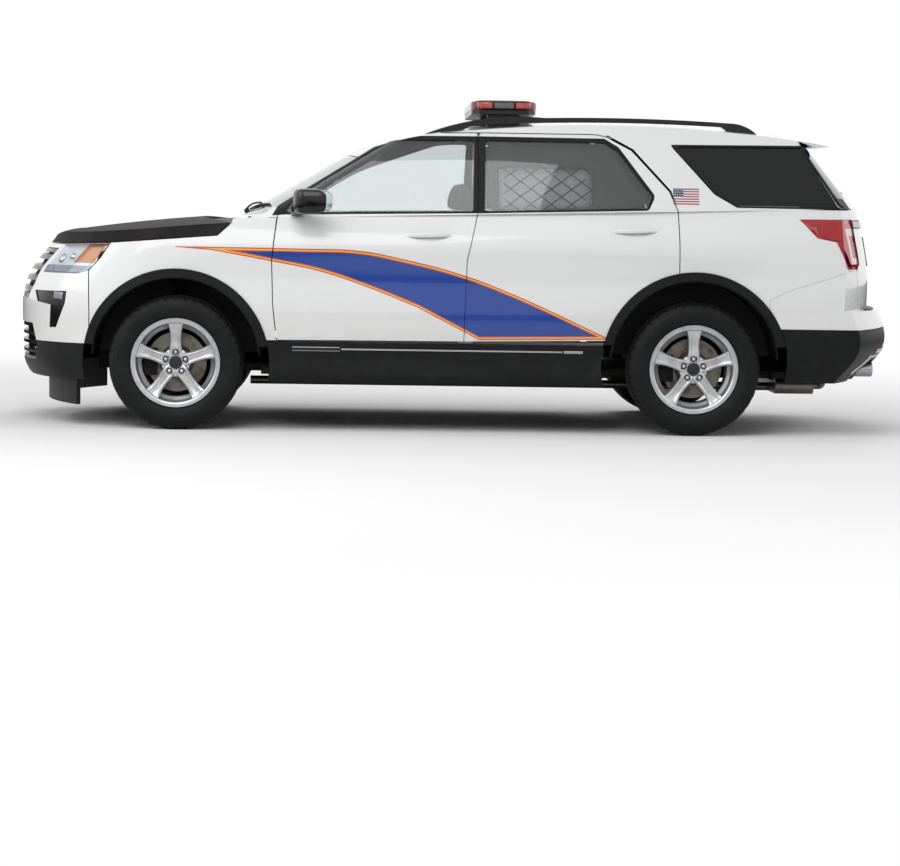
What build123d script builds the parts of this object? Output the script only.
# Full-size five-door patrol SUV with a roof light bar, built as separate body panels,
# glass, lamps, trim, seats, axles, knuckles and wheels.
# Frame: millimetres, +X rearward, +Y to the vehicle's right, +Z up.
# Origin: on the ground, at the centre of the vehicle's bounding box.
import os
from collections import namedtuple
from functools import lru_cache
from math import sqrt

from build123d import *

# Overall stance
WHEELBASE = 2865
FRONT_AXLE_X = -1573
REAR_AXLE_X = FRONT_AXLE_X + WHEELBASE
TRACK_HALF = 851
BELT_FRONT_Z = 1170
BELT_REAR_Z = 1275
BELT_FRONT_X = -1255
BELT_REAR_X = 2400
FAR = 2700
SIDE_OUT = 1150

# Clearances between pieces
SEAT_GAP = 0.3
TRIM_GAP = 0.8
PANEL_GAP = 3.0
SHUT_GAP = 5.4
RUN_GAP = 0.05

# Wall thicknesses
PANEL_WALL = 50
DOOR_WALL = 120
DOOR_FRAME_WALL = 26
DOOR_FLANGE = 62
PILLAR_INSET = DOOR_FRAME_WALL + TRIM_GAP
GATE_FLANGE = 12
GATE_FLANGE_DEPTH = 34
HOOD_WALL = 32
COWL_WALL = 50
CLADDING_PROUD = 6
CLADDING_WALL = 36

# Tyres, rims and brakes
TYRE_RADIUS = 370
TYRE_WIDTH = 245
TYRE_SHOULDER = 42
RIM_RADIUS = 229
RIM_LIP_RADIUS = 247
BEAD_RADIUS = RIM_RADIUS + SEAT_GAP
RIM_WIDTH = 208
RIM_BARREL_WALL = 12
SPOKE_COUNT = 5
SPOKE_WIDTH = 62
SPOKE_FACE_Y = 88
SPOKE_DEPTH = 42
HUB_RADIUS = 78
HUB_BORE = 34
HUB_REACH = 76
NUT_CIRCLE = 57.2
NUT_HOLE = 12
DISC_RADIUS = 165
DISC_WALL = 26
DISC_FACE_Y = 30

# Wheel arches
ARCH_RADIUS = 517
MOULDING_INNER = 468
LINER_RADIUS = 461.4
LINER_WALL = 6
LINER_INNER_Y = 500
REAR_LINER_INNER_Y = 590
FRONT_ARCH_Z = 372
REAR_ARCH_Z = 392

# Steering: the axis runs from the lower ball joint to the strut's top
BALL_JOINT = (FRONT_AXLE_X, 745, 205)
BALL_RADIUS = 15
BALL_STEM_RADIUS = 8
STRUT_TOP = (FRONT_AXLE_X, 640, 890)

# Body sections at rising heights. Each plan outline has a nose arc, two side arcs and a
# tail arc, with rounded corners between them.
Section = namedtuple(
    "Section",
    "z nose_x tail_x half_front half_mid half_rear nose_radius nose_corner tail_radius tail_corner",
)
LOWER_SECTIONS = [
    Section(240, -2440, 2340, 890, 900, 890, 1300, 600, 2000, 200),
    Section(360, -2512, 2352, 960, 966, 960, 1300, 650, 2000, 200),
    Section(500, -2518, 2362, 974, 974, 978, 1300, 680, 2000, 200),
    Section(600, -2518, 2370, 986, 990, 992, 1300, 680, 2000, 200),
    Section(780, -2505, 2380, 985, 984, 994, 1300, 680, 2000, 200),
    Section(980, -2378, 2366, 968, 1000, 974, 1300, 650, 2000, 200),
    Section(1120, -2290, 2338, 925, 962, 942, 1300, 600, 2000, 190),
    Section(1280, -2200, 2292, 860, 908, 888, 1300, 500, 2000, 180),
]
UPPER_SECTIONS = [
    Section(1080, -1424, 2400, 930, 978, 955, 2300, 120, 2000, 160),
    Section(1280, -1092, 2285, 850, 880, 872, 2300, 120, 2000, 160),
    Section(1500, -715, 2108, 748, 775, 768, 2300, 120, 2000, 150),
    Section(1660, -440, 1978, 668, 694, 684, 2300, 120, 2000, 140),
    Section(1800, -200, 1862, 600, 620, 608, 2300, 120, 2000, 120),
]
BUMPER_SECTIONS = [
    Section(300, -2400, 2310, 900, 915, 905, 1300, 600, 1900, 300),
    Section(400, -2500, 2420, 960, 975, 972, 1300, 650, 1900, 300),
    Section(528, -2518, 2490, 985, 990, 1000, 1300, 650, 1900, 300),
    Section(610, -2518, 2476, 985, 992, 1002, 1300, 650, 1900, 300),
    Section(705, -2505, 2436, 985, 988, 996, 1300, 650, 1900, 280),
]
SECTIONS = {"lower": LOWER_SECTIONS, "upper": UPPER_SECTIONS, "bumper": BUMPER_SECTIONS}

# Crowned caps: a side-view line turned about a far axis under the car
HOOD_AXIS_Z = -9000
ROOF_AXIS_Z = -4500

# Half width at which the roof panel meets the side frames
ROOF_SPLIT = 632
ROOF_EDGE = ROOF_SPLIT + PANEL_GAP / 2

# Side-view outlines, as (x, z)
HOOD_SHUT_LINE = [(-2480, 1000), (-2270, 1008), (-1929, 1026), (-1347, 1074), (-1275, 1140)]
HOOD_REAR_X = -1266
HOOD_REAR_CENTRE_X = -1470
HOOD_HINGE = (-1255, 0, 1165)
FRONT_DOOR = [
    (-1017, 503),
    (-1040, 700),
    (-1048, 939),
    (-1024, 1160),
    (-1004, 1286),
    (-906, 1350),
    (-480, 1628),
    (-400, 1655),
    (94, 1662),
    (86, 1223),
    (26, 955),
    (14, 508),
]
REAR_DOOR = [
    (14, 508),
    (26, 955),
    (86, 1223),
    (94, 1662),
    (740, 1662),
    (800, 1650),
    (941, 1575),
    (1147, 1349),
    (1194, 1236),
    (1198, 900),
    (1140, 700),
    (830, 522),
]
FRONT_DOOR_HINGE = (-1048, 1001)
REAR_DOOR_HINGE = (14, 1002)
FRONT_WINDOW = [(-1000, 1205), (-906, 1300), (-470, 1590), (-385, 1616), (66, 1620), (58, 1224)]
REAR_WINDOW = [(120, 1225), (128, 1621), (790, 1617), (861, 1573), (1046, 1325), (1020, 1254)]
QUARTER_WINDOW = [(1178, 1600), (1960, 1606), (2215, 1275), (1531, 1277), (1400, 1350)]
HEADLAMP = [
    (-2470, 997),
    (-2270, 1003),
    (-1938, 1020),
    (-1991, 943),
    (-2052, 872),
    (-2127, 850),
    (-2470, 848),
]
FOG_LAMP = [
    (-2390, 748),
    (-2186, 752),
    (-2193, 690),
    (-2250, 548),
    (-2290, 546),
    (-2284, 672),
    (-2372, 686),
]
FOG_INNER_Y = 540
TAIL_LAMP = [
    (1865, 1208),
    (FAR, 1214),
    (FAR, 934),
    (2140, 932),
    (2068, 1084),
    (1961, 1106),
]
QUARTER_PANEL = [
    (760, 503),
    (1700, 503),
    (1700, 760),
    (1800, 812),
    (2150, 925),
    (FAR, 930),
    (FAR, 1260),
    (760, 1260),
]
REAR_DOOR_RELIEF = [
    (800, 1650),
    (808, 1660),
    (950, 1583),
    (1157, 1353),
    (1190, 1262),
    (1147, 1349),
    (941, 1575),
]
INNER_PILLARS = [
    [(-20, 497), (66, 497), (80, 955), (120, 1222), (120, 1700), (64, 1700), (50, 1240)],
    [
        (-640, 1545),
        (-380, 1640),
        (900, 1640),
        (1080, 1500),
        (1160, 1560),
        (900, 1760),
        (-380, 1760),
        (-700, 1600),
    ],
    [(-1150, 497), (-1068, 497), (-1068, 1180), (-640, 1545), (-700, 1600), (-1260, 1230)],
    [(1212, 905), (1290, 905), (1290, 1250), (1160, 1560), (1080, 1500), (1212, 1250)],
]
PILLAR_ZONE = [
    (-SIDE_OUT, 300),
    (-870, 300),
    (-880, 900),
    (-868, 1100),
    (-800, 1240),
    (-ROOF_EDGE, 1590),
    (-ROOF_EDGE, 1900),
    (-SIDE_OUT, 1900),
]
REAR_BUMPER_SIDE = [(1700, 602), (1700, 760), (1800, 812), (2150, 925), (FAR, 930), (FAR, 602)]
BUMPER_COLOUR_Z = 464
DEFLECTOR_BOTTOM_Z = 122
DEFLECTOR_TOP_Z = 300
REAR_COLOUR_Z = 602
BUMPER_TOP_Z = 700
SILL_TOP_Z = 500
SILL_BOTTOM_Z = 268

# Rear-view and front-view outlines of the right half, as (y, z)
GATE = [
    (0, 712),
    (690, 712),
    (782, 780),
    (796, 925),
    (738, 958),
    (738, 1262),
    (812, 1290),
    (814, 1330),
    (676, 1668),
    (650, 1790),
    (0, 1790),
]
DOOR_ZONE = [
    (-SIDE_OUT, 300),
    (-850, 300),
    (-868, 1100),
    (-835, 1200),
    (-775, 1350),
    (-645, 1640),
    (-600, 1900),
    (-SIDE_OUT, 1900),
]
GATE_FRONT_X = 1768
GATE_SWING_ROOM = 1.5
GATE_HINGE = (1768, 0, 1702)
GATE_RELIEF = [(-730, 966), (-740, 948), (-800, 914), (-800, 934)]
GATE_GLASS = [(0, 1318), (784, 1326), (662, 1634), (0, 1640)]
WINDSHIELD = [(0, 1178), (790, 1192), (672, 1520), (0, 1545)]
GRILLE = [(0, 700), (430, 700), (520, 780), (540, 984), (0, 984)]
LOWER_INTAKE = [(0, 350), (560, 350), (600, 440), (520, 560), (0, 560)]


def belt_z(x):
    """Height of the belt line at x."""
    slope = (BELT_REAR_Z - BELT_FRONT_Z) / (BELT_REAR_X - BELT_FRONT_X)
    return BELT_FRONT_Z + (x - BELT_FRONT_X) * slope


def plan_outline(section, inset):
    """Face of one body section, drawn in by the inset."""
    nose = section.nose_x + inset
    tail = section.tail_x - inset
    front, mid, rear = (
        half - inset for half in (section.half_front, section.half_mid, section.half_rear)
    )
    nose_radius = section.nose_radius - inset
    tail_radius = section.tail_radius - inset
    nose_x = nose + nose_radius - sqrt(nose_radius**2 - front**2)
    tail_x = tail - tail_radius + sqrt(tail_radius**2 - rear**2)
    mid_x = (nose_x + tail_x) / 2
    with BuildSketch(Plane.XY.offset(section.z)) as outline:
        with BuildLine():
            ThreePointArc((nose_x, -front), (nose, 0), (nose_x, front))
            ThreePointArc((nose_x, front), (mid_x, mid), (tail_x, rear))
            ThreePointArc((tail_x, rear), (tail, 0), (tail_x, -rear))
            ThreePointArc((tail_x, -rear), (mid_x, -mid), (nose_x, -front))
        make_face()
        corners = outline.vertices().sort_by(Axis.X)
        fillet(corners[:2], radius=max(section.nose_corner - inset, 20))
        fillet(corners[2:], radius=max(section.tail_corner - inset, 20))
    return outline.sketch


@lru_cache(maxsize=None)
@lru_cache(maxsize=None)
def body_loft(shape, inset):
    """Smooth body through one table of plan sections, drawn in by the inset."""
    with BuildPart() as body:
        loft([plan_outline(section, inset) for section in SECTIONS[shape]])
    return body.part


def side_block(points, near=-SIDE_OUT, far=0, shrink=0.0, corner=0.0):
    """Block with a side-view outline, from y = near to y = far."""
    with BuildPart() as block:
        with BuildSketch(Plane.XZ.offset(-near)) as outline:
            with BuildLine():
                Polyline(*points, close=True)
            make_face()
            if shrink:
                offset(amount=-shrink, kind=Kind.INTERSECTION)
            if corner:
                fillet(outline.vertices(), radius=corner)
        extrude(amount=near - far)
    return block.part


def end_block(half_points, near, far, shrink=0.0, corner=0.0):
    """Block with a symmetric end-view outline, from x = near to x = far."""
    full = half_points + [(-y, z) for y, z in reversed(half_points) if y > 0]
    with BuildPart() as block:
        with BuildSketch(Plane.YZ.offset(near)) as outline:
            with BuildLine():
                Polyline(*full, close=True)
            make_face()
            if shrink:
                offset(amount=-shrink, kind=Kind.INTERSECTION)
            if corner:
                fillet(outline.vertices(), radius=corner)
        extrude(amount=far - near)
    return block.part


def end_block_left(points, near, far):
    """Block with an end-view outline on the left side only."""
    with BuildPart() as block:
        with BuildSketch(Plane.YZ.offset(near)):
            with BuildLine():
                Polyline(*points, close=True)
            make_face()
        extrude(amount=far - near)
    return block.part


def shifted(zone, distance):
    """A left-hand zone with its inner edge moved towards the right."""
    return [(y + distance if y > -SIDE_OUT else y, z) for y, z in zone]


def box(low, high):
    """Plain block between two corners."""
    size = [b - a for a, b in zip(low, high)]
    centre = [(a + b) / 2 for a, b in zip(low, high)]
    with BuildPart() as block:
        with Locations(tuple(centre)):
            Box(*size)
    return block.part


def drum(x, z, radius, near, far):
    """Cylinder along Y about a wheel or arch centre."""
    with BuildPart() as block:
        with BuildSketch(Plane.XZ.offset(-near)):
            with Locations((x, z)):
                Circle(radius)
        extrude(amount=near - far)
    return block.part


def joined(*pieces):
    """Several solids made one where they touch."""
    with BuildPart() as whole:
        add(pieces)
    return whole.part


def cut(base, *tools):
    """The base with each tool taken out of it."""
    with BuildPart() as rest:
        add(base)
        add(tools, mode=Mode.SUBTRACT)
    return rest.part


def common(base, *tools):
    """What the base shares with every tool."""
    with BuildPart() as shared:
        add(base)
        for tool in tools:
            add(tool, mode=Mode.INTERSECT)
    return shared.part


def largest(piece):
    """The biggest solid of a cut piece, without its crumbs."""
    with BuildPart() as kept:
        add(piece.solids().sort_by(SortBy.VOLUME)[-1])
    return kept.part


def mirrored(piece):
    """The same piece on the vehicle's other side."""
    with BuildPart() as other:
        add(piece)
        mirror(about=Plane.XZ, mode=Mode.REPLACE)
    return other.part


def pair(piece):
    """A left piece and its right-hand copy."""
    return Compound(piece.solids() + mirrored(piece).solids())


def hood_cap(drop):
    """Everything under the crowned hood surface, lowered by drop."""
    with BuildPart() as cap:
        with BuildSketch(Plane.XZ):
            with BuildLine():
                ThreePointArc((-2392, 985 - drop), (-2302, 1060 - drop), (-2170, 1094 - drop))
                ThreePointArc((-2170, 1094 - drop), (-1760, 1146 - drop), (-950, 1200 - drop))
                Polyline(
                    (-950, 1200 - drop), (-950, 200), (-FAR, 200), (-FAR, 985 - drop), (-2392, 985 - drop)
                )
            make_face()
        revolve(axis=Axis((0, 0, HOOD_AXIS_Z), (1, 0, 0)))
    return cap.part


def roof_cap(drop):
    """Everything under the crowned roof surface, lowered by drop."""
    with BuildPart() as cap:
        with BuildSketch(Plane.XZ):
            with BuildLine():
                Polyline((-1000, 1440 - drop), (-640, 1548 - drop))
                ThreePointArc((-640, 1548 - drop), (-434, 1630 - drop), (-60, 1700 - drop))
                ThreePointArc((-60, 1700 - drop), (750, 1748 - drop), (1560, 1716 - drop))
                ThreePointArc((1560, 1716 - drop), (1850, 1686 - drop), (2110, 1640 - drop))
                Polyline(
                    (2110, 1640 - drop),
                    (FAR, 1640 - drop),
                    (FAR, 200),
                    (-FAR, 200),
                    (-FAR, 1440 - drop),
                    (-1000, 1440 - drop),
                )
            make_face()
        revolve(axis=Axis((0, 0, ROOF_AXIS_Z), (1, 0, 0)))
    return cap.part


def below_belt(rise):
    """Everything under the belt line, raised by rise."""
    high_front, high_rear = belt_z(-FAR) + rise, belt_z(FAR) + rise
    return side_block(
        [(-FAR, 0), (FAR, 0), (FAR, high_rear), (-FAR, high_front)], -SIDE_OUT, SIDE_OUT
    )


BELOW_BELT = below_belt(0)
DOOR_BOX_TOP = below_belt(12)
ABOVE_BELT = side_block(
    [(-FAR, belt_z(-FAR)), (FAR, belt_z(FAR)), (FAR, 1900), (-FAR, 1900)], -SIDE_OUT, SIDE_OUT
)


@lru_cache(maxsize=None)
def body_solid(inset):
    """The whole body as one solid, drawn in by the inset."""
    lower = common(body_loft("lower", inset), BELOW_BELT)
    upper = common(body_loft("upper", inset), ABOVE_BELT, roof_cap(inset))
    return joined(lower, upper)


BODY = body_solid(0)
LEFT_HALF = box((-FAR, -SIDE_OUT, 0), (FAR, -20, 1900))


def skin(region, wall=PANEL_WALL):
    """Body skin of one wall thickness inside a region."""
    return cut(common(BODY, region), body_solid(wall))


def lower_skin(region, outer=0, inner=PANEL_WALL):
    """Skin of the lower body between two insets, inside a region."""
    return cut(common(body_loft("lower", outer), region), body_loft("lower", inner))


def upper_skin(region, outer, inner):
    """Skin of the upper body between two insets, inside a region."""
    return cut(common(body_loft("upper", outer), region), body_loft("upper", inner))


FRONT_ARCH = drum(FRONT_AXLE_X, FRONT_ARCH_Z, ARCH_RADIUS, -SIDE_OUT, -400)
REAR_ARCH = drum(REAR_AXLE_X, REAR_ARCH_Z, ARCH_RADIUS, -SIDE_OUT, -400)
BOTH_FRONT_ARCHES = pair(FRONT_ARCH)
BOTH_REAR_ARCHES = pair(REAR_ARCH)


def behind_arc(side_x, centre_x, end_x):
    """Plan area between an arc across the car and a straight line at end_x."""
    with BuildPart() as block:
        with BuildSketch(Plane.XY.offset(900)):
            with BuildLine():
                ThreePointArc((side_x, -SIDE_OUT), (centre_x, 0), (side_x, SIDE_OUT))
                Polyline((side_x, SIDE_OUT), (end_x, SIDE_OUT), (end_x, -SIDE_OUT), (side_x, -SIDE_OUT))
            make_face()
        extrude(amount=500)
    return block.part


# Hood: clamshell panel with a crowned top and turned-down sides
def make_hood():
    above_line = side_block(
        HOOD_SHUT_LINE + [(HOOD_REAR_X, 1175), (HOOD_REAR_X, 1400), (-2480, 1400)],
        -SIDE_OUT,
        SIDE_OUT,
        shrink=SHUT_GAP / 2,
    )
    outer = common(body_loft("lower", 0), hood_cap(0), above_line)
    inner = common(body_loft("lower", HOOD_WALL), hood_cap(HOOD_WALL))
    rear_edge = behind_arc(HOOD_REAR_X + 110, HOOD_REAR_CENTRE_X, -900)
    return cut(outer, inner, rear_edge)


# Cowl panel between the hood and the windshield
def make_cowl():
    behind_hood = behind_arc(HOOD_REAR_X + 110 + SHUT_GAP, HOOD_REAR_CENTRE_X + SHUT_GAP, -980)
    outer = common(body_loft("lower", PANEL_WALL + 2), hood_cap(20), behind_hood)
    low = side_block([(-FAR, 0), (FAR, 0), (FAR, 1060), (-FAR, 1060)], -SIDE_OUT, SIDE_OUT)
    glass_side = body_loft("upper", -2)
    between_pillars = end_block([(0, 1000), (840, 1000), (836, 1100), (770, 1240), (0, 1240)], -FAR, 0)
    return cut(common(outer, between_pillars), hood_cap(COWL_WALL), low, glass_side)


# Front wings, one each side of the hood
def make_front_fenders():
    outline = [
        (-1017, SILL_TOP_Z),
        (-1040, 700),
        (-1048, 939),
        (-1024, belt_z(-1024)),
        (HOOD_REAR_X, belt_z(HOOD_REAR_X)),
        *reversed(HOOD_SHUT_LINE),
        (-2270, 1008),
        (-1938, 1024),
        (-1991, 943),
        (-2058, 868),
        (-2052, 640),
        (-2052, SILL_TOP_Z),
    ]
    outline = [point for point in outline if point[0] > -1935 or point[1] < 1000 or point == (-1938, 1024)]
    region = side_block(outline, -SIDE_OUT, -200, shrink=SHUT_GAP / 2)
    return pair(skin(cut(region, FRONT_ARCH), DOOR_FRAME_WALL))


# Painted front bumper cover with openings for the grille, lamps and intake
def make_front_bumper():
    outline = [
        (-FAR, BUMPER_COLOUR_Z),
        (-2052, BUMPER_COLOUR_Z),
        (-2052, 640),
        (-2058, 868),
        (-1991, 943),
        (-1938, 1024),
        (-2270, 1008),
        (-2480, 1000),
        (-FAR, 1000),
    ]
    region = side_block(outline, -SIDE_OUT, SIDE_OUT, shrink=PANEL_GAP)
    lamp = side_block(HEADLAMP, -SIDE_OUT, -200)
    keep_middle = end_block([(0, 700), (590, 700), (548, 1100), (0, 1100)], -FAR, -2000)
    lamp = cut(lamp, keep_middle)
    region = cut(
        region,
        pair(lamp),
        end_block(GRILLE, -FAR, -2200),
        end_block(LOWER_INTAKE, -FAR, -2200),
        pair(side_block(FOG_LAMP, -SIDE_OUT, -FOG_INNER_Y)),
        BOTH_FRONT_ARCHES,
    )
    return lower_skin(region)


# Black lower valance of the front bumper, with the air deflector
def make_front_valance():
    region = side_block(
        [(-FAR, 262), (-1990, 262), (-1990, BUMPER_COLOUR_Z), (-FAR, BUMPER_COLOUR_Z)],
        -SIDE_OUT,
        SIDE_OUT,
        shrink=PANEL_GAP / 2,
    )
    valance = lower_skin(cut(region, end_block(LOWER_INTAKE, -FAR, -2200), BOTH_FRONT_ARCHES))
    with BuildPart() as deflector:
        with BuildSketch(Plane.XY.offset(DEFLECTOR_BOTTOM_Z)):
            with BuildLine():
                rear = ThreePointArc((-2130, -800), (-2365, 0), (-2130, 800))
                Line(rear @ 1, (-2110, 790))
                ThreePointArc((-2110, 790), (-2340, 0), (-2110, -790))
                Line((-2110, -790), rear @ 0)
            make_face()
        extrude(amount=DEFLECTOR_TOP_Z - DEFLECTOR_BOTTOM_Z)
    return joined(valance, deflector.part)


# Grille: a frame with cross bars that follow the nose
def make_grille():
    ring = cut(
        end_block(GRILLE, -FAR, -2200, shrink=TRIM_GAP),
        end_block(GRILLE, -FAR, -2200, shrink=26),
    )
    bar_heights = (752, 812, 872, 932)
    bars = [box((-FAR, -530, z - 13), (-2200, 530, z + 13)) for z in bar_heights]
    bars = common(joined(*bars), end_block(GRILLE, -FAR, -2200, shrink=20))
    lower_ring = cut(
        end_block(LOWER_INTAKE, -FAR, -2200, shrink=TRIM_GAP),
        end_block(LOWER_INTAKE, -FAR, -2200, shrink=22),
    )
    lower_bars = [box((-FAR, -590, z - 8), (-2200, 590, z + 8)) for z in (400, 450, 500)]
    lower_bars = common(joined(*lower_bars), end_block(LOWER_INTAKE, -FAR, -2200, shrink=16))
    nose = lower_skin(box((-FAR, -610, 340), (-2190, 610, 1000)), 6, 44)
    return common(nose, joined(ring, bars, lower_ring, lower_bars))


def make_headlamps():
    lamp = side_block(HEADLAMP, -SIDE_OUT, -200, shrink=TRIM_GAP)
    keep_middle = end_block([(0, 700), (591, 700), (549, 1100), (0, 1100)], -FAR, -2000)
    return pair(lower_skin(cut(lamp, keep_middle), 2, PANEL_WALL - 2))


def make_fog_lamps():
    region = side_block(FOG_LAMP, -SIDE_OUT, -FOG_INNER_Y - TRIM_GAP, shrink=TRIM_GAP)
    return pair(lower_skin(region, 6, PANEL_WALL - 4))


# Doors: outer skin with a thick inner box below the belt and a thin window frame above
def make_door(outline, window, trim):
    region = side_block(outline, -SIDE_OUT, -500, shrink=SHUT_GAP / 2)
    box_region = common(side_block(outline, -SIDE_OUT, -500, shrink=DOOR_FLANGE), DOOR_BOX_TOP)
    opening = side_block(window, -SIDE_OUT, -500, corner=18)
    zone = end_block_left(DOOR_ZONE, -1300, 1300)
    shell = skin(common(cut(region, opening, trim), zone), DOOR_FRAME_WALL)
    inner = lower_skin(common(cut(box_region, opening, trim), zone), DOOR_FRAME_WALL - 2, DOOR_WALL)
    return largest(joined(shell, inner))


def make_glass(window, outer_inset=7, thickness=5):
    pane = side_block(window, -SIDE_OUT, -500, shrink=TRIM_GAP, corner=17)
    return upper_skin(pane, outer_inset, outer_inset + thickness)


def make_door_glass(window):
    return common(make_glass(window), end_block_left(shifted(DOOR_ZONE, -3), -1300, 1300))


# Mirror head on its stalk, standing out of the front door
def make_mirror():
    with BuildPart() as mirror_part:
        with BuildSketch(Plane.XY.offset(1196)):
            with BuildLine():
                Polyline(
                    (-985, -985), (-900, -965), (-765, -1062), (-738, -1140), (-880, -1140), close=True
                )
            make_face()
        extrude(amount=140)
        fillet(mirror_part.edges().filter_by(Axis.Z), radius=20)
        fillet(mirror_part.faces().sort_by(Axis.Z)[-1].edges(), radius=26)
        fillet(mirror_part.faces().sort_by(Axis.Z)[0].edges(), radius=26)
    stalk = box((-950, -1010, 1186), (-880, -880, 1214))
    return cut(joined(mirror_part.part, stalk), body_loft("upper", -TRIM_GAP))


# Tailgate with its spoiler
def make_tailgate():
    region = common(
        end_block(GATE, GATE_FRONT_X, FAR, shrink=SHUT_GAP / 2),
        box((GATE_FRONT_X + SHUT_GAP, -SIDE_OUT, 0), (FAR, SIDE_OUT, 1900)),
    )
    inner_region = end_block(GATE, GATE_FRONT_X, FAR, shrink=GATE_FLANGE_DEPTH)
    flange_room = cut(common(body_solid(GATE_FLANGE), region), inner_region)
    opening = end_block(GATE_GLASS, 1800, FAR, corner=24)
    relief = pair(end_block_left(GATE_RELIEF, 1900, FAR))
    gate = cut(skin(cut(region, opening, relief)), flange_room)
    lip = side_block(
        [(1850, 1655), (1980, 1612), (2088, 1618), (2088, 1900), (1850, 1900)], -640, 640
    )
    spoiler = common(lip, roof_cap(0))
    return joined(gate, spoiler)


def make_gate_glass():
    pane = end_block(GATE_GLASS, 1800, FAR, shrink=TRIM_GAP, corner=23)
    spoiler_room = side_block(
        [(1850, 1655 - 2), (1980, 1612 - 2), (2300, 1618 - 2), (2300, 1900), (1850, 1900)], -660, 660
    )
    return cut(upper_skin(pane, 9, 14), spoiler_room)


def make_windshield():
    pane = end_block(WINDSHIELD, -1500, -300, shrink=TRIM_GAP, corner=39)
    return upper_skin(pane, 5, 11)


# Roof panel between the side frames, from the windshield to the tailgate
def make_roof():
    half = ROOF_SPLIT - PANEL_GAP / 2
    region = box((-800, -half, 1400), (GATE_FRONT_X, half, 1900))
    return cut(skin(region), end_block(WINDSHIELD, -1500, -300, corner=40))


# Body side: pillars, cant rail, sill, inner pillar and rear quarter panel
def make_body_sides():
    upper_region = box((-1330, -SIDE_OUT, 1100), (FAR, -ROOF_EDGE, 1900))
    quarter_region = side_block(QUARTER_PANEL, -SIDE_OUT, -500)
    door_opening = end_block_left(shifted(DOOR_ZONE, 6), -1300, 1300)
    region = cut(
        joined(common(ABOVE_BELT, upper_region), quarter_region),
        end_block(WINDSHIELD, -1500, -300, corner=40),
        common(side_block(FRONT_DOOR, -SIDE_OUT, -400, shrink=-SHUT_GAP / 2), door_opening),
        common(side_block(REAR_DOOR, -SIDE_OUT, -400, shrink=-SHUT_GAP / 2), door_opening),
        side_block(REAR_DOOR_RELIEF, -SIDE_OUT, -400),
        side_block(QUARTER_WINDOW, -SIDE_OUT, -500, corner=18),
        side_block(TAIL_LAMP, -SIDE_OUT, -400),
        end_block(GATE, GATE_FRONT_X - 1, FAR, shrink=-SHUT_GAP / 2 - GATE_SWING_ROOM),
        REAR_ARCH,
    )
    pillars = joined(*[side_block(outline, -SIDE_OUT, -500) for outline in INNER_PILLARS])
    pillars = common(cut(pillars, FRONT_ARCH, REAR_ARCH), end_block_left(PILLAR_ZONE, -1300, 1300))
    low_pillars = common(body_loft("lower", PILLAR_INSET), common(pillars, BELOW_BELT))
    high_pillars = common(pillars, ABOVE_BELT, roof_cap(PILLAR_INSET))
    high_pillars = common(body_loft("upper", PILLAR_INSET), high_pillars)
    sill = cut(box((-1150, -SIDE_OUT, 300), (800, -800, 510)), FRONT_ARCH, REAR_ARCH)
    sill = common(body_loft("lower", PANEL_WALL + 1), sill)
    return pair(largest(joined(skin(region), low_pillars, high_pillars, sill)))


def make_quarter_windows():
    pane = make_glass(QUARTER_WINDOW)
    return pair(cut(pane, end_block(GATE, GATE_FRONT_X - 1, FAR, shrink=-SHUT_GAP / 2)))


def make_tail_lamps():
    region = side_block(TAIL_LAMP, -SIDE_OUT, -400, shrink=TRIM_GAP)
    gate_room = end_block(GATE, GATE_FRONT_X - 1, FAR, shrink=-SHUT_GAP / 2)
    return pair(lower_skin(cut(region, gate_room), -2, PANEL_WALL - 2))


# Rear bumper: painted upper cover and black valance
def make_rear_bumper():
    room = common(
        end_block(GATE, GATE_FRONT_X, FAR, shrink=-SHUT_GAP / 2),
        box((GATE_FRONT_X, -SIDE_OUT, 0), (FAR, SIDE_OUT, 1900)),
    )
    corners = side_block(REAR_BUMPER_SIDE, -SIDE_OUT, SIDE_OUT, shrink=PANEL_GAP / 2)
    corners = lower_skin(cut(corners, room, BOTH_REAR_ARCHES))
    shelf = box((1740, -SIDE_OUT, REAR_COLOUR_Z), (FAR, SIDE_OUT, BUMPER_TOP_Z))
    shelf = common(body_loft("bumper", 0), cut(shelf, room, BOTH_REAR_ARCHES))
    stops = [box((2290, y - 25, 680), (2308, y + 25, 714)) for y in (-500, 500)]
    return joined(corners, cut(shelf, body_loft("lower", PANEL_WALL)), *stops)


def make_rear_valance():
    region = box((1690, -SIDE_OUT, 300), (FAR, SIDE_OUT, REAR_COLOUR_Z - PANEL_GAP))
    bays = [box((2100, y - 95, 290), (FAR, y + 95, 420)) for y in (-569, 569)]
    region = cut(region, BOTH_REAR_ARCHES, *bays)
    return cut(common(body_loft("bumper", 0), region), body_loft("bumper", 60))


# Black mouldings around the wheel arches
def make_arch_mouldings():
    pieces = []
    for x, z, low in (
        (FRONT_AXLE_X, FRONT_ARCH_Z, BUMPER_COLOUR_Z + 2),
        (REAR_AXLE_X, REAR_ARCH_Z, SILL_TOP_Z + 2),
    ):
        ring = cut(
            drum(x, z, ARCH_RADIUS - TRIM_GAP, -SIDE_OUT, -700),
            drum(x, z, MOULDING_INNER, -SIDE_OUT, -700),
        )
        above = box((-FAR, -SIDE_OUT, low), (FAR, 0, 1900))
        pieces.append(lower_skin(common(ring, above), -CLADDING_PROUD, CLADDING_WALL))
    return pair(joined(*pieces))


def make_sill_cladding():
    region = side_block(
        [(-1108, SILL_BOTTOM_Z), (-1062, SILL_TOP_Z - 6), (812, SILL_TOP_Z - 6), (850, SILL_BOTTOM_Z)],
        -SIDE_OUT,
        -600,
    )
    return pair(cut(lower_skin(region, -2, PANEL_WALL), FRONT_ARCH, REAR_ARCH))


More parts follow.
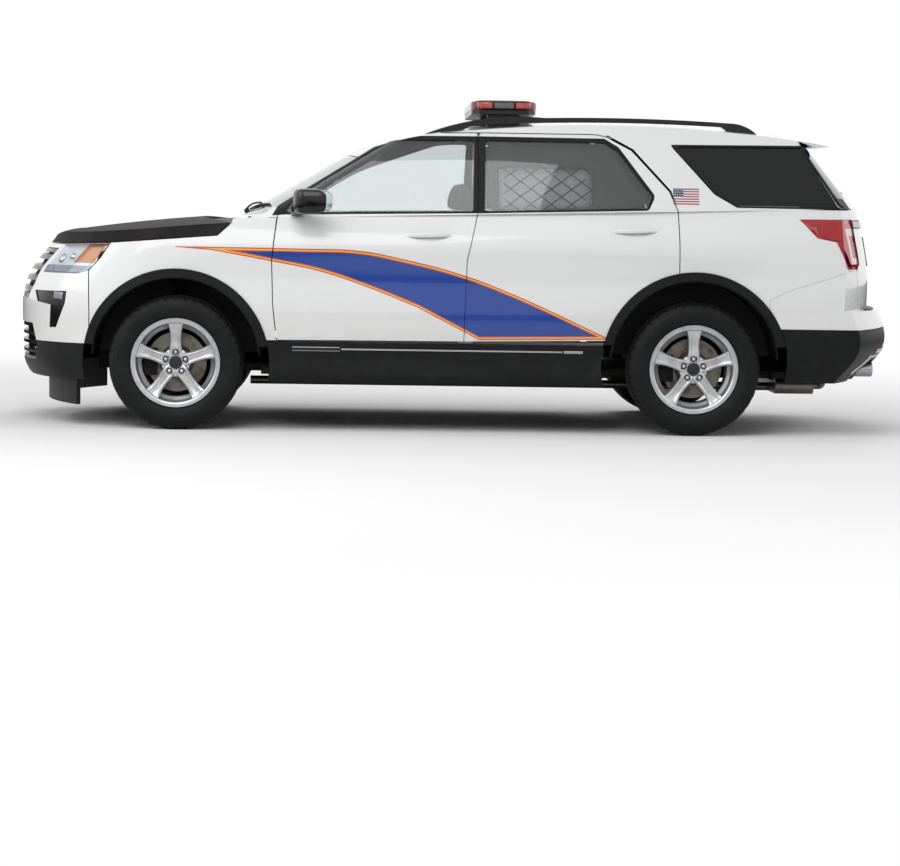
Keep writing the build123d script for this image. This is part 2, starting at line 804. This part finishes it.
# Wheel-house liners: half drums over each wheel with an inner wall
def make_wheel_liners():
    pieces = []
    for x, z, inner_y in (
        (FRONT_AXLE_X, FRONT_ARCH_Z, LINER_INNER_Y),
        (REAR_AXLE_X, REAR_ARCH_Z, REAR_LINER_INNER_Y),
    ):
        ring = cut(
            drum(x, z, LINER_RADIUS + LINER_WALL, -SIDE_OUT, -inner_y),
            drum(x, z, LINER_RADIUS, -SIDE_OUT, -inner_y - LINER_WALL),
        )
        above = box((-FAR, -SIDE_OUT, z + 40), (FAR, 0, 1900))
        pieces.append(common(ring, above, body_loft("lower", 12)))
    return pair(joined(*pieces))


# Floor with front rails, firewall and cargo floor
def make_floor():
    slab = box((-1230, -780, 305), (1760, 780, 345))
    sill_seats = box((-1100, -800 + SEAT_GAP, 305), (740, 800 - SEAT_GAP, 345))
    cargo_floor = box((1760, -640, 305), (2020, 640, 345))
    tunnel = box((-1230, -130, 345), (200, 130, 430))
    firewall = box((-1230, -780, 345), (-1210, 780, 1060 - SEAT_GAP))
    rails = [box((-2300, y - 45, 430), (-1180, y + 45, 540)) for y in (-430, 430)]
    cross = box((-2330, -560, 500), (-2290, 560, 620))
    post = [box((-1300, y - 45, 345), (-1230, y + 45, 540)) for y in (-430, 430)]
    hood_stops = [box((-2210, y - 12, 535), (-2190, y + 12, 1150)) for y in (-430, 430)]
    hood_stops = common(joined(*hood_stops), hood_cap(HOOD_WALL + TRIM_GAP))
    brackets = [box((-1400, y - 15, 1000), (-1210, y + 15, 1180)) for y in (-300, 300)]
    brackets = common(joined(*brackets), hood_cap(COWL_WALL + SEAT_GAP))
    pieces = [slab, sill_seats, cargo_floor, tunnel, firewall, cross, hood_stops, brackets]
    whole = joined(*pieces, *rails, *post)
    well_radius = LINER_RADIUS + LINER_WALL + TRIM_GAP
    wells = pair(drum(REAR_AXLE_X, REAR_ARCH_Z, well_radius, -900, -REAR_LINER_INNER_Y + 1))
    front_wells = pair(drum(FRONT_AXLE_X, FRONT_ARCH_Z, well_radius, -900, -LINER_INNER_Y + 1))
    return cut(whole, wells, front_wells)


# Lights, rails and bar on the roof
def make_roof_rails():
    with BuildPart() as rail:
        with BuildSketch(Plane.XZ.offset(624)):
            with BuildLine():
                top = ThreePointArc((-215, 1652), (60, 1732), (460, 1752))
                ThreePointArc((460, 1752), (1000, 1756), (1500, 1738))
                ThreePointArc((1500, 1738), (1600, 1715), (1668, 1664))
                Polyline((1668, 1664), (1490, 1690))
                Polyline((1490, 1690), (1450, 1716))
                ThreePointArc((1450, 1716), (760, 1730), (60, 1706))
                Polyline((60, 1706), (-10, 1672), (-215, 1652))
            make_face()
        extrude(amount=-42)
    return pair(cut(rail.part, roof_cap(-TRIM_GAP)))


LIGHT_BAR_X = 230
LIGHT_BAR_DEPTH = 370
LIGHT_BAR_HALF = 660
LIGHT_BAR_BASE_Z = 1768


def light_bar_outline(low, high, inset):
    with BuildPart() as slab:
        with BuildSketch(Plane.XY.offset(low)):
            with Locations((LIGHT_BAR_X, 0)):
                RectangleRounded(
                    LIGHT_BAR_DEPTH - 2 * inset, 2 * (LIGHT_BAR_HALF - inset), 100 - inset
                )
        extrude(amount=high - low)
    return slab.part


def make_light_bar_base():
    base = light_bar_outline(LIGHT_BAR_BASE_Z, LIGHT_BAR_BASE_Z + 22, 4)
    top = light_bar_outline(LIGHT_BAR_BASE_Z + 22, LIGHT_BAR_BASE_Z + 76, 60)
    feet = [
        box((LIGHT_BAR_X - 90, y - 30, 1660), (LIGHT_BAR_X + 90, y + 30, LIGHT_BAR_BASE_Z))
        for y in (-520, 520)
    ]
    return joined(base, top, *[cut(foot, roof_cap(-TRIM_GAP)) for foot in feet])


def make_light_bar_lenses(side):
    ring = cut(
        light_bar_outline(LIGHT_BAR_BASE_Z + 22 + SEAT_GAP, LIGHT_BAR_BASE_Z + 80, 0),
        light_bar_outline(LIGHT_BAR_BASE_Z, LIGHT_BAR_BASE_Z + 76 + SEAT_GAP, 60 - SEAT_GAP),
    )
    half = box((-FAR, 2, 1700), (FAR, SIDE_OUT, 1900))
    return common(ring, half if side > 0 else mirrored(half))


# Interior
def make_dashboard():
    with BuildPart() as dash:
        with BuildSketch(Plane.XZ.offset(700)) as outline:
            with BuildLine():
                Polyline(
                    (-1210 + SEAT_GAP, 760),
                    (-900, 720),
                    (-820, 900),
                    (-830, 1060),
                    (-900, 1096),
                    (-1150, 1085),
                    (-1210 + SEAT_GAP, 1040),
                    close=True,
                )
            make_face()
            fillet(outline.vertices().sort_by(Axis.X)[3:], radius=30)
        extrude(amount=-1400)
    return dash.part


STEERING_WHEEL = (-690, -370, 1010)


def make_steering_wheel():
    tilt = Plane(origin=STEERING_WHEEL, x_dir=(0, 1, 0), z_dir=(0.92, 0, 0.39))
    with BuildPart() as wheel:
        with BuildSketch(Plane(origin=tilt.origin, x_dir=tilt.x_dir, z_dir=-tilt.y_dir)):
            with Locations((182, 0)):
                Circle(15)
        revolve(axis=Axis(tilt.origin, tilt.z_dir))
        with BuildSketch(tilt.offset(-14)):
            Circle(62)
            Rectangle(350, 34)
            with Locations((0, -80)):
                Rectangle(34, 170)
        extrude(amount=26)
        with BuildSketch(tilt.offset(-170)):
            Circle(32)
        extrude(amount=170)
    return cut(wheel.part, make_dashboard())


SEAT_X = -430
SEAT_Z = 345


def seat(x, y, width):
    with BuildPart() as piece:
        with BuildSketch(Plane.XZ.offset(-y + width / 2)) as outline:
            with BuildLine():
                Polyline(
                    (x - 270, 620),
                    (x + 210, 590),
                    (x + 380, 1180),
                    (x + 470, 1160),
                    (x + 330, 480),
                    (x - 250, 480),
                    close=True,
                )
            make_face()
            fillet(outline.vertices(), radius=22)
        extrude(amount=-width)
    base = box((x - 200, y - width / 2 + 60, SEAT_Z + SEAT_GAP), (x + 260, y + width / 2 - 60, 482))
    return joined(piece.part, base)


def headrest(x, y):
    rest = box((x + 385, y - 130, 1225), (x + 475, y + 130, 1385))
    posts = [
        box((x + 420, y + shift - 8, 1150), (x + 436, y + shift + 8, 1230)) for shift in (-60, 60)
    ]
    return joined(rest, *posts)


def make_front_seats():
    return pair(joined(seat(SEAT_X, -370, 520), headrest(SEAT_X, -370)))


def make_rear_seat():
    return joined(seat(470, 0, 1160), *[headrest(470, y) for y in (-380, 380)])


def make_engine():
    return box((-2050, -330, 300), (-1470, 330, 930))


# Front subframe with lower arms that reach the ball joints
def make_front_subframe():
    frame = box((-1760, -430, 240), (-1380, 430, 296))
    bar = box((-1640, -400, 296), (-1500, 400, 300 - SEAT_GAP))
    arms = []
    for side in (-1, 1):
        with BuildPart() as arm:
            with Locations((FRONT_AXLE_X, side * BALL_JOINT[1], BALL_JOINT[2])):
                Sphere(BALL_RADIUS)
            with Locations((FRONT_AXLE_X, side * BALL_JOINT[1], BALL_JOINT[2] - 20)):
                Cylinder(BALL_STEM_RADIUS, 36)
            with BuildSketch(Plane.XY.offset(166)):
                with BuildLine():
                    Polyline(
                        (-1740, side * 400),
                        (-1400, side * 400),
                        (FRONT_AXLE_X + 13, side * 731),
                        (FRONT_AXLE_X + 8, side * 750),
                        (FRONT_AXLE_X - 8, side * 750),
                        (FRONT_AXLE_X - 13, side * 731),
                        close=True,
                    )
                make_face()
            extrude(amount=22)
        arms.append(arm.part)
    posts = [box((-1740, y - 40, 160), (-1400, y + 40, 250)) for y in (-395, 395)]
    mounts = [
        box((x - 40, y - 40, 296), (x + 40, y + 40, 430 - SEAT_GAP))
        for x in (-1740, -1410)
        for y in (-410, 410)
    ]
    return joined(frame, bar, *arms, *posts, *mounts)


# Knuckle: ball-joint boss, hub stub, caliper and strut
def brake_caliper(x, y):
    """Left caliper over the disc, in front of the axle."""
    block = common(
        drum(x, TYRE_RADIUS, DISC_RADIUS + 20, y - 12, y + 68),
        box((x - 200, y - 20, TYRE_RADIUS - 75), (x - 105, y + 80, TYRE_RADIUS + 75)),
    )
    return cut(block, drum(x, TYRE_RADIUS, DISC_RADIUS + 6, y + 2, y + 42))


def make_knuckle():
    x, y, z = FRONT_AXLE_X, -TRACK_HALF, TYRE_RADIUS
    boss_y = -BALL_JOINT[1]
    upright = box((x - 32, boss_y - 26, 200), (x + 32, boss_y + 34, 500))
    with BuildPart() as socket:
        with Locations((x, boss_y, BALL_JOINT[2])):
            Sphere(BALL_RADIUS + SEAT_GAP)
        with Locations((x, boss_y, BALL_JOINT[2] - 20)):
            Cone(26, BALL_RADIUS - 3, 40)
    arm = box((x - 130, y + 50, z - 40), (x - 20, boss_y + 10, z + 40))
    strut_base = (x, boss_y + 30, 470)
    strut_dir = (0, -STRUT_TOP[1] - strut_base[1], STRUT_TOP[2] - strut_base[2])
    with BuildPart() as strut:
        with BuildSketch(Plane(origin=strut_base, x_dir=(1, 0, 0), z_dir=strut_dir)):
            Circle(28)
        extrude(amount=345)
    return joined(
        cut(upright, socket.part),
        drum(x, z, 52, y + DISC_FACE_Y + 12, boss_y - 20),
        drum(x, z, HUB_BORE - RUN_GAP, y - HUB_REACH, y + DISC_FACE_Y + 20),
        strut.part,
        arm,
        brake_caliper(x, y),
    )


# Rear suspension: crossmember, arms, uprights and hub stubs
def make_rear_suspension():
    x, y, z = REAR_AXLE_X, -TRACK_HALF, TYRE_RADIUS
    cross = box((x - 160, -470, 250), (x + 160, 470, 300))
    mounts = [
        box((x + dx - 40, mount_y - 40, 290), (x + dx + 40, mount_y + 40, 305 - SEAT_GAP))
        for dx in (-110, 110)
        for mount_y in (-420, 420)
    ]
    side = joined(
        box((x - 60, -720, 230), (x + 60, -460, 262)),
        box((x - 50, -738, 228), (x + 50, -690, 470)),
        box((x - 130, y + 50, z - 40), (x - 20, -700, z + 40)),
        drum(x, z, HUB_BORE - RUN_GAP, y - HUB_REACH, -700),
        brake_caliper(x, y),
    )
    return joined(cross, *mounts, side, mirrored(side))


# Wheels
def make_rim():
    """Left rim about its own centre, outer face towards -Y."""
    half = RIM_WIDTH / 2
    with BuildPart() as rim:
        with BuildSketch(Plane.YZ):
            with BuildLine():
                Polyline(
                    (-half, RIM_LIP_RADIUS),
                    (-half + 9, RIM_LIP_RADIUS),
                    (-half + 14, RIM_RADIUS - 1),
                    (-half + 52, RIM_RADIUS - 5),
                    (-half + 70, RIM_RADIUS - 26),
                    (half - 40, RIM_RADIUS - 26),
                    (half - 30, RIM_RADIUS - 5),
                    (half - 14, RIM_RADIUS - 1),
                    (half - 9, RIM_LIP_RADIUS),
                    (half, RIM_LIP_RADIUS),
                    (half, RIM_RADIUS - 14),
                    (half - 30, RIM_RADIUS - 38),
                    (-half + 74, RIM_RADIUS - 38),
                    (-half + 56, RIM_RADIUS - 17),
                    (-half + 10, RIM_RADIUS - 13),
                    (-half, RIM_RADIUS + 1),
                    close=True,
                )
            make_face()
        revolve(axis=Axis.Y)
        with BuildSketch(Plane.XZ.offset(SPOKE_FACE_Y - SPOKE_DEPTH)):
            Circle(HUB_RADIUS)
            with PolarLocations(0, SPOKE_COUNT, start_angle=90):
                with Locations((RIM_RADIUS / 2, 0)):
                    Rectangle(RIM_RADIUS - 22, SPOKE_WIDTH)
        extrude(amount=SPOKE_DEPTH)
        with BuildSketch(Plane.XZ.offset(-DISC_FACE_Y + 2)):
            Circle(70)
        extrude(amount=SPOKE_FACE_Y - SPOKE_DEPTH + DISC_FACE_Y - 2)
        with BuildSketch(Plane.XZ.offset(-DISC_FACE_Y - DISC_WALL / 2 + 8)):
            Circle(DISC_RADIUS)
        extrude(amount=DISC_WALL)
        with BuildSketch(Plane.XZ.offset(SPOKE_FACE_Y - SPOKE_DEPTH - 120)):
            Circle(HUB_BORE)
        extrude(amount=SPOKE_DEPTH + 110, mode=Mode.SUBTRACT)
        with BuildSketch(Plane.XZ.offset(SPOKE_FACE_Y - 22)):
            with PolarLocations(NUT_CIRCLE, SPOKE_COUNT, start_angle=90):
                Circle(NUT_HOLE)
        extrude(amount=40, mode=Mode.SUBTRACT)
    return rim.part


def make_tyre():
    """Tyre about its own centre."""
    half = TYRE_WIDTH / 2
    with BuildPart() as tyre:
        with BuildSketch(Plane.YZ):
            with BuildLine():
                Polyline((-89, BEAD_RADIUS), (-94, RIM_LIP_RADIUS), (-103, RIM_LIP_RADIUS + 3))
                ThreePointArc((-103, RIM_LIP_RADIUS + 3), (-half, 296), (-104, TYRE_RADIUS - 14))
                ThreePointArc((-104, TYRE_RADIUS - 14), (-92, TYRE_RADIUS - 5), (-70, TYRE_RADIUS - 1))
                ThreePointArc((-70, TYRE_RADIUS - 1), (0, TYRE_RADIUS), (70, TYRE_RADIUS - 1))
                ThreePointArc((70, TYRE_RADIUS - 1), (92, TYRE_RADIUS - 5), (104, TYRE_RADIUS - 14))
                ThreePointArc((104, TYRE_RADIUS - 14), (half, 296), (103, RIM_LIP_RADIUS + 3))
                Polyline((103, RIM_LIP_RADIUS + 3), (94, RIM_LIP_RADIUS), (89, BEAD_RADIUS), (76, BEAD_RADIUS))
                ThreePointArc((76, BEAD_RADIUS), (half - 12, 296), (92, TYRE_RADIUS - 20))
                Polyline((92, TYRE_RADIUS - 20), (-92, TYRE_RADIUS - 20))
                ThreePointArc((-92, TYRE_RADIUS - 20), (-half + 12, 296), (-76, BEAD_RADIUS))
                Polyline((-76, BEAD_RADIUS), (-89, BEAD_RADIUS))
            make_face()
        revolve(axis=Axis.Y)
    return tyre.part


def placed(piece, x, y, z):
    with BuildPart() as moved:
        with Locations((x, y, z)):
            add(piece)
    return moved.part


TIP_FRONT_X = 2160
TIP_END_X = 2345


# Exhaust: muffler across the tail with two tips
def make_exhaust():
    with BuildPart() as body:
        with BuildSketch(Plane.YZ.offset(1830)):
            with Locations((0, 250)):
                RectangleRounded(760, 95, 45)
        extrude(amount=220)
        for y in (-569, 569):
            with BuildSketch(Plane.YZ.offset(TIP_FRONT_X)):
                with Locations((y, 365)):
                    Ellipse(56, 42)
                    Ellipse(50, 36, mode=Mode.SUBTRACT)
            extrude(amount=TIP_END_X - TIP_FRONT_X)
            with BuildSketch(Plane.YZ.offset(TIP_FRONT_X - 5)):
                with Locations((y, 365)):
                    Ellipse(56, 42)
            extrude(amount=8)
            with BuildLine(Plane.XY) as route:
                FilletPolyline(
                    (2020, y * 0.6, 255),
                    (2090, y * 0.62, 256),
                    (2110, y * 0.98, 355),
                    (TIP_FRONT_X - 1, y, 365),
                    radius=14,
                )
            with BuildSketch(Plane(origin=route.line @ 0, z_dir=route.line % 0)):
                Circle(24)
            sweep()
        with BuildSketch(Plane.YZ.offset(-1200)):
            with Locations((0, 222)):
                Circle(24)
        extrude(amount=3100)
    hanger = box((REAR_AXLE_X - 20, -15, 230), (REAR_AXLE_X + 20, 15, 250 - SEAT_GAP))
    return joined(body.part, hanger)


wheel_places = {
    "front_left": (FRONT_AXLE_X, -TRACK_HALF),
    "front_right": (FRONT_AXLE_X, TRACK_HALF),
    "rear_left": (REAR_AXLE_X, -TRACK_HALF),
    "rear_right": (REAR_AXLE_X, TRACK_HALF),
}

front_gap = side_block([(92, 1230), (104, 1700), (78, 1700)], -SIDE_OUT, -500)
parts = {
    "hood": make_hood(),
    "cowl": make_cowl(),
    "front_fenders": make_front_fenders(),
    "front_bumper": make_front_bumper(),
    "front_valance": make_front_valance(),
    "grille": make_grille(),
    "headlamps": make_headlamps(),
    "fog_lamps": make_fog_lamps(),
    "body_sides": make_body_sides(),
    "roof": make_roof(),
    "windshield": make_windshield(),
    "quarter_windows": make_quarter_windows(),
    "tail_lamps": make_tail_lamps(),
    "tailgate": make_tailgate(),
    "tailgate_glass": make_gate_glass(),
    "rear_bumper": make_rear_bumper(),
    "rear_valance": make_rear_valance(),
    "arch_mouldings": make_arch_mouldings(),
    "sill_cladding": make_sill_cladding(),
    "wheel_liners": make_wheel_liners(),
    "floor": make_floor(),
    "roof_rails": make_roof_rails(),
    "light_bar_base": make_light_bar_base(),
    "light_bar_red": make_light_bar_lenses(-1),
    "light_bar_blue": make_light_bar_lenses(1),
    "dashboard": make_dashboard(),
    "steering_wheel": make_steering_wheel(),
    "front_seats": make_front_seats(),
    "rear_seat": make_rear_seat(),
    "engine": make_engine(),
    "front_subframe": make_front_subframe(),
    "rear_suspension": make_rear_suspension(),
    "exhaust": make_exhaust(),
}
left_pieces = {
    "front_door": make_door(FRONT_DOOR, FRONT_WINDOW, front_gap),
    "front_door_glass": make_door_glass(FRONT_WINDOW),
    "mirror": make_mirror(),
    "rear_door": make_door(REAR_DOOR, REAR_WINDOW, REAR_ARCH),
    "rear_door_glass": make_door_glass(REAR_WINDOW),
    "knuckle": make_knuckle(),
}
for name, piece in left_pieces.items():
    parts[name + "_left"] = piece
    parts[name + "_right"] = mirrored(piece)
rim, tyre = make_rim(), make_tyre()
for place, (x, y) in wheel_places.items():
    parts["tyre_" + place] = placed(tyre, x, y, TYRE_RADIUS)
    parts["rim_" + place] = placed(rim if y < 0 else mirrored(rim), x, y, TYRE_RADIUS)

os.makedirs("parts", exist_ok=True)
for name, piece in parts.items():
    piece.label = name
    export_step(piece, f"parts/{name}.step")
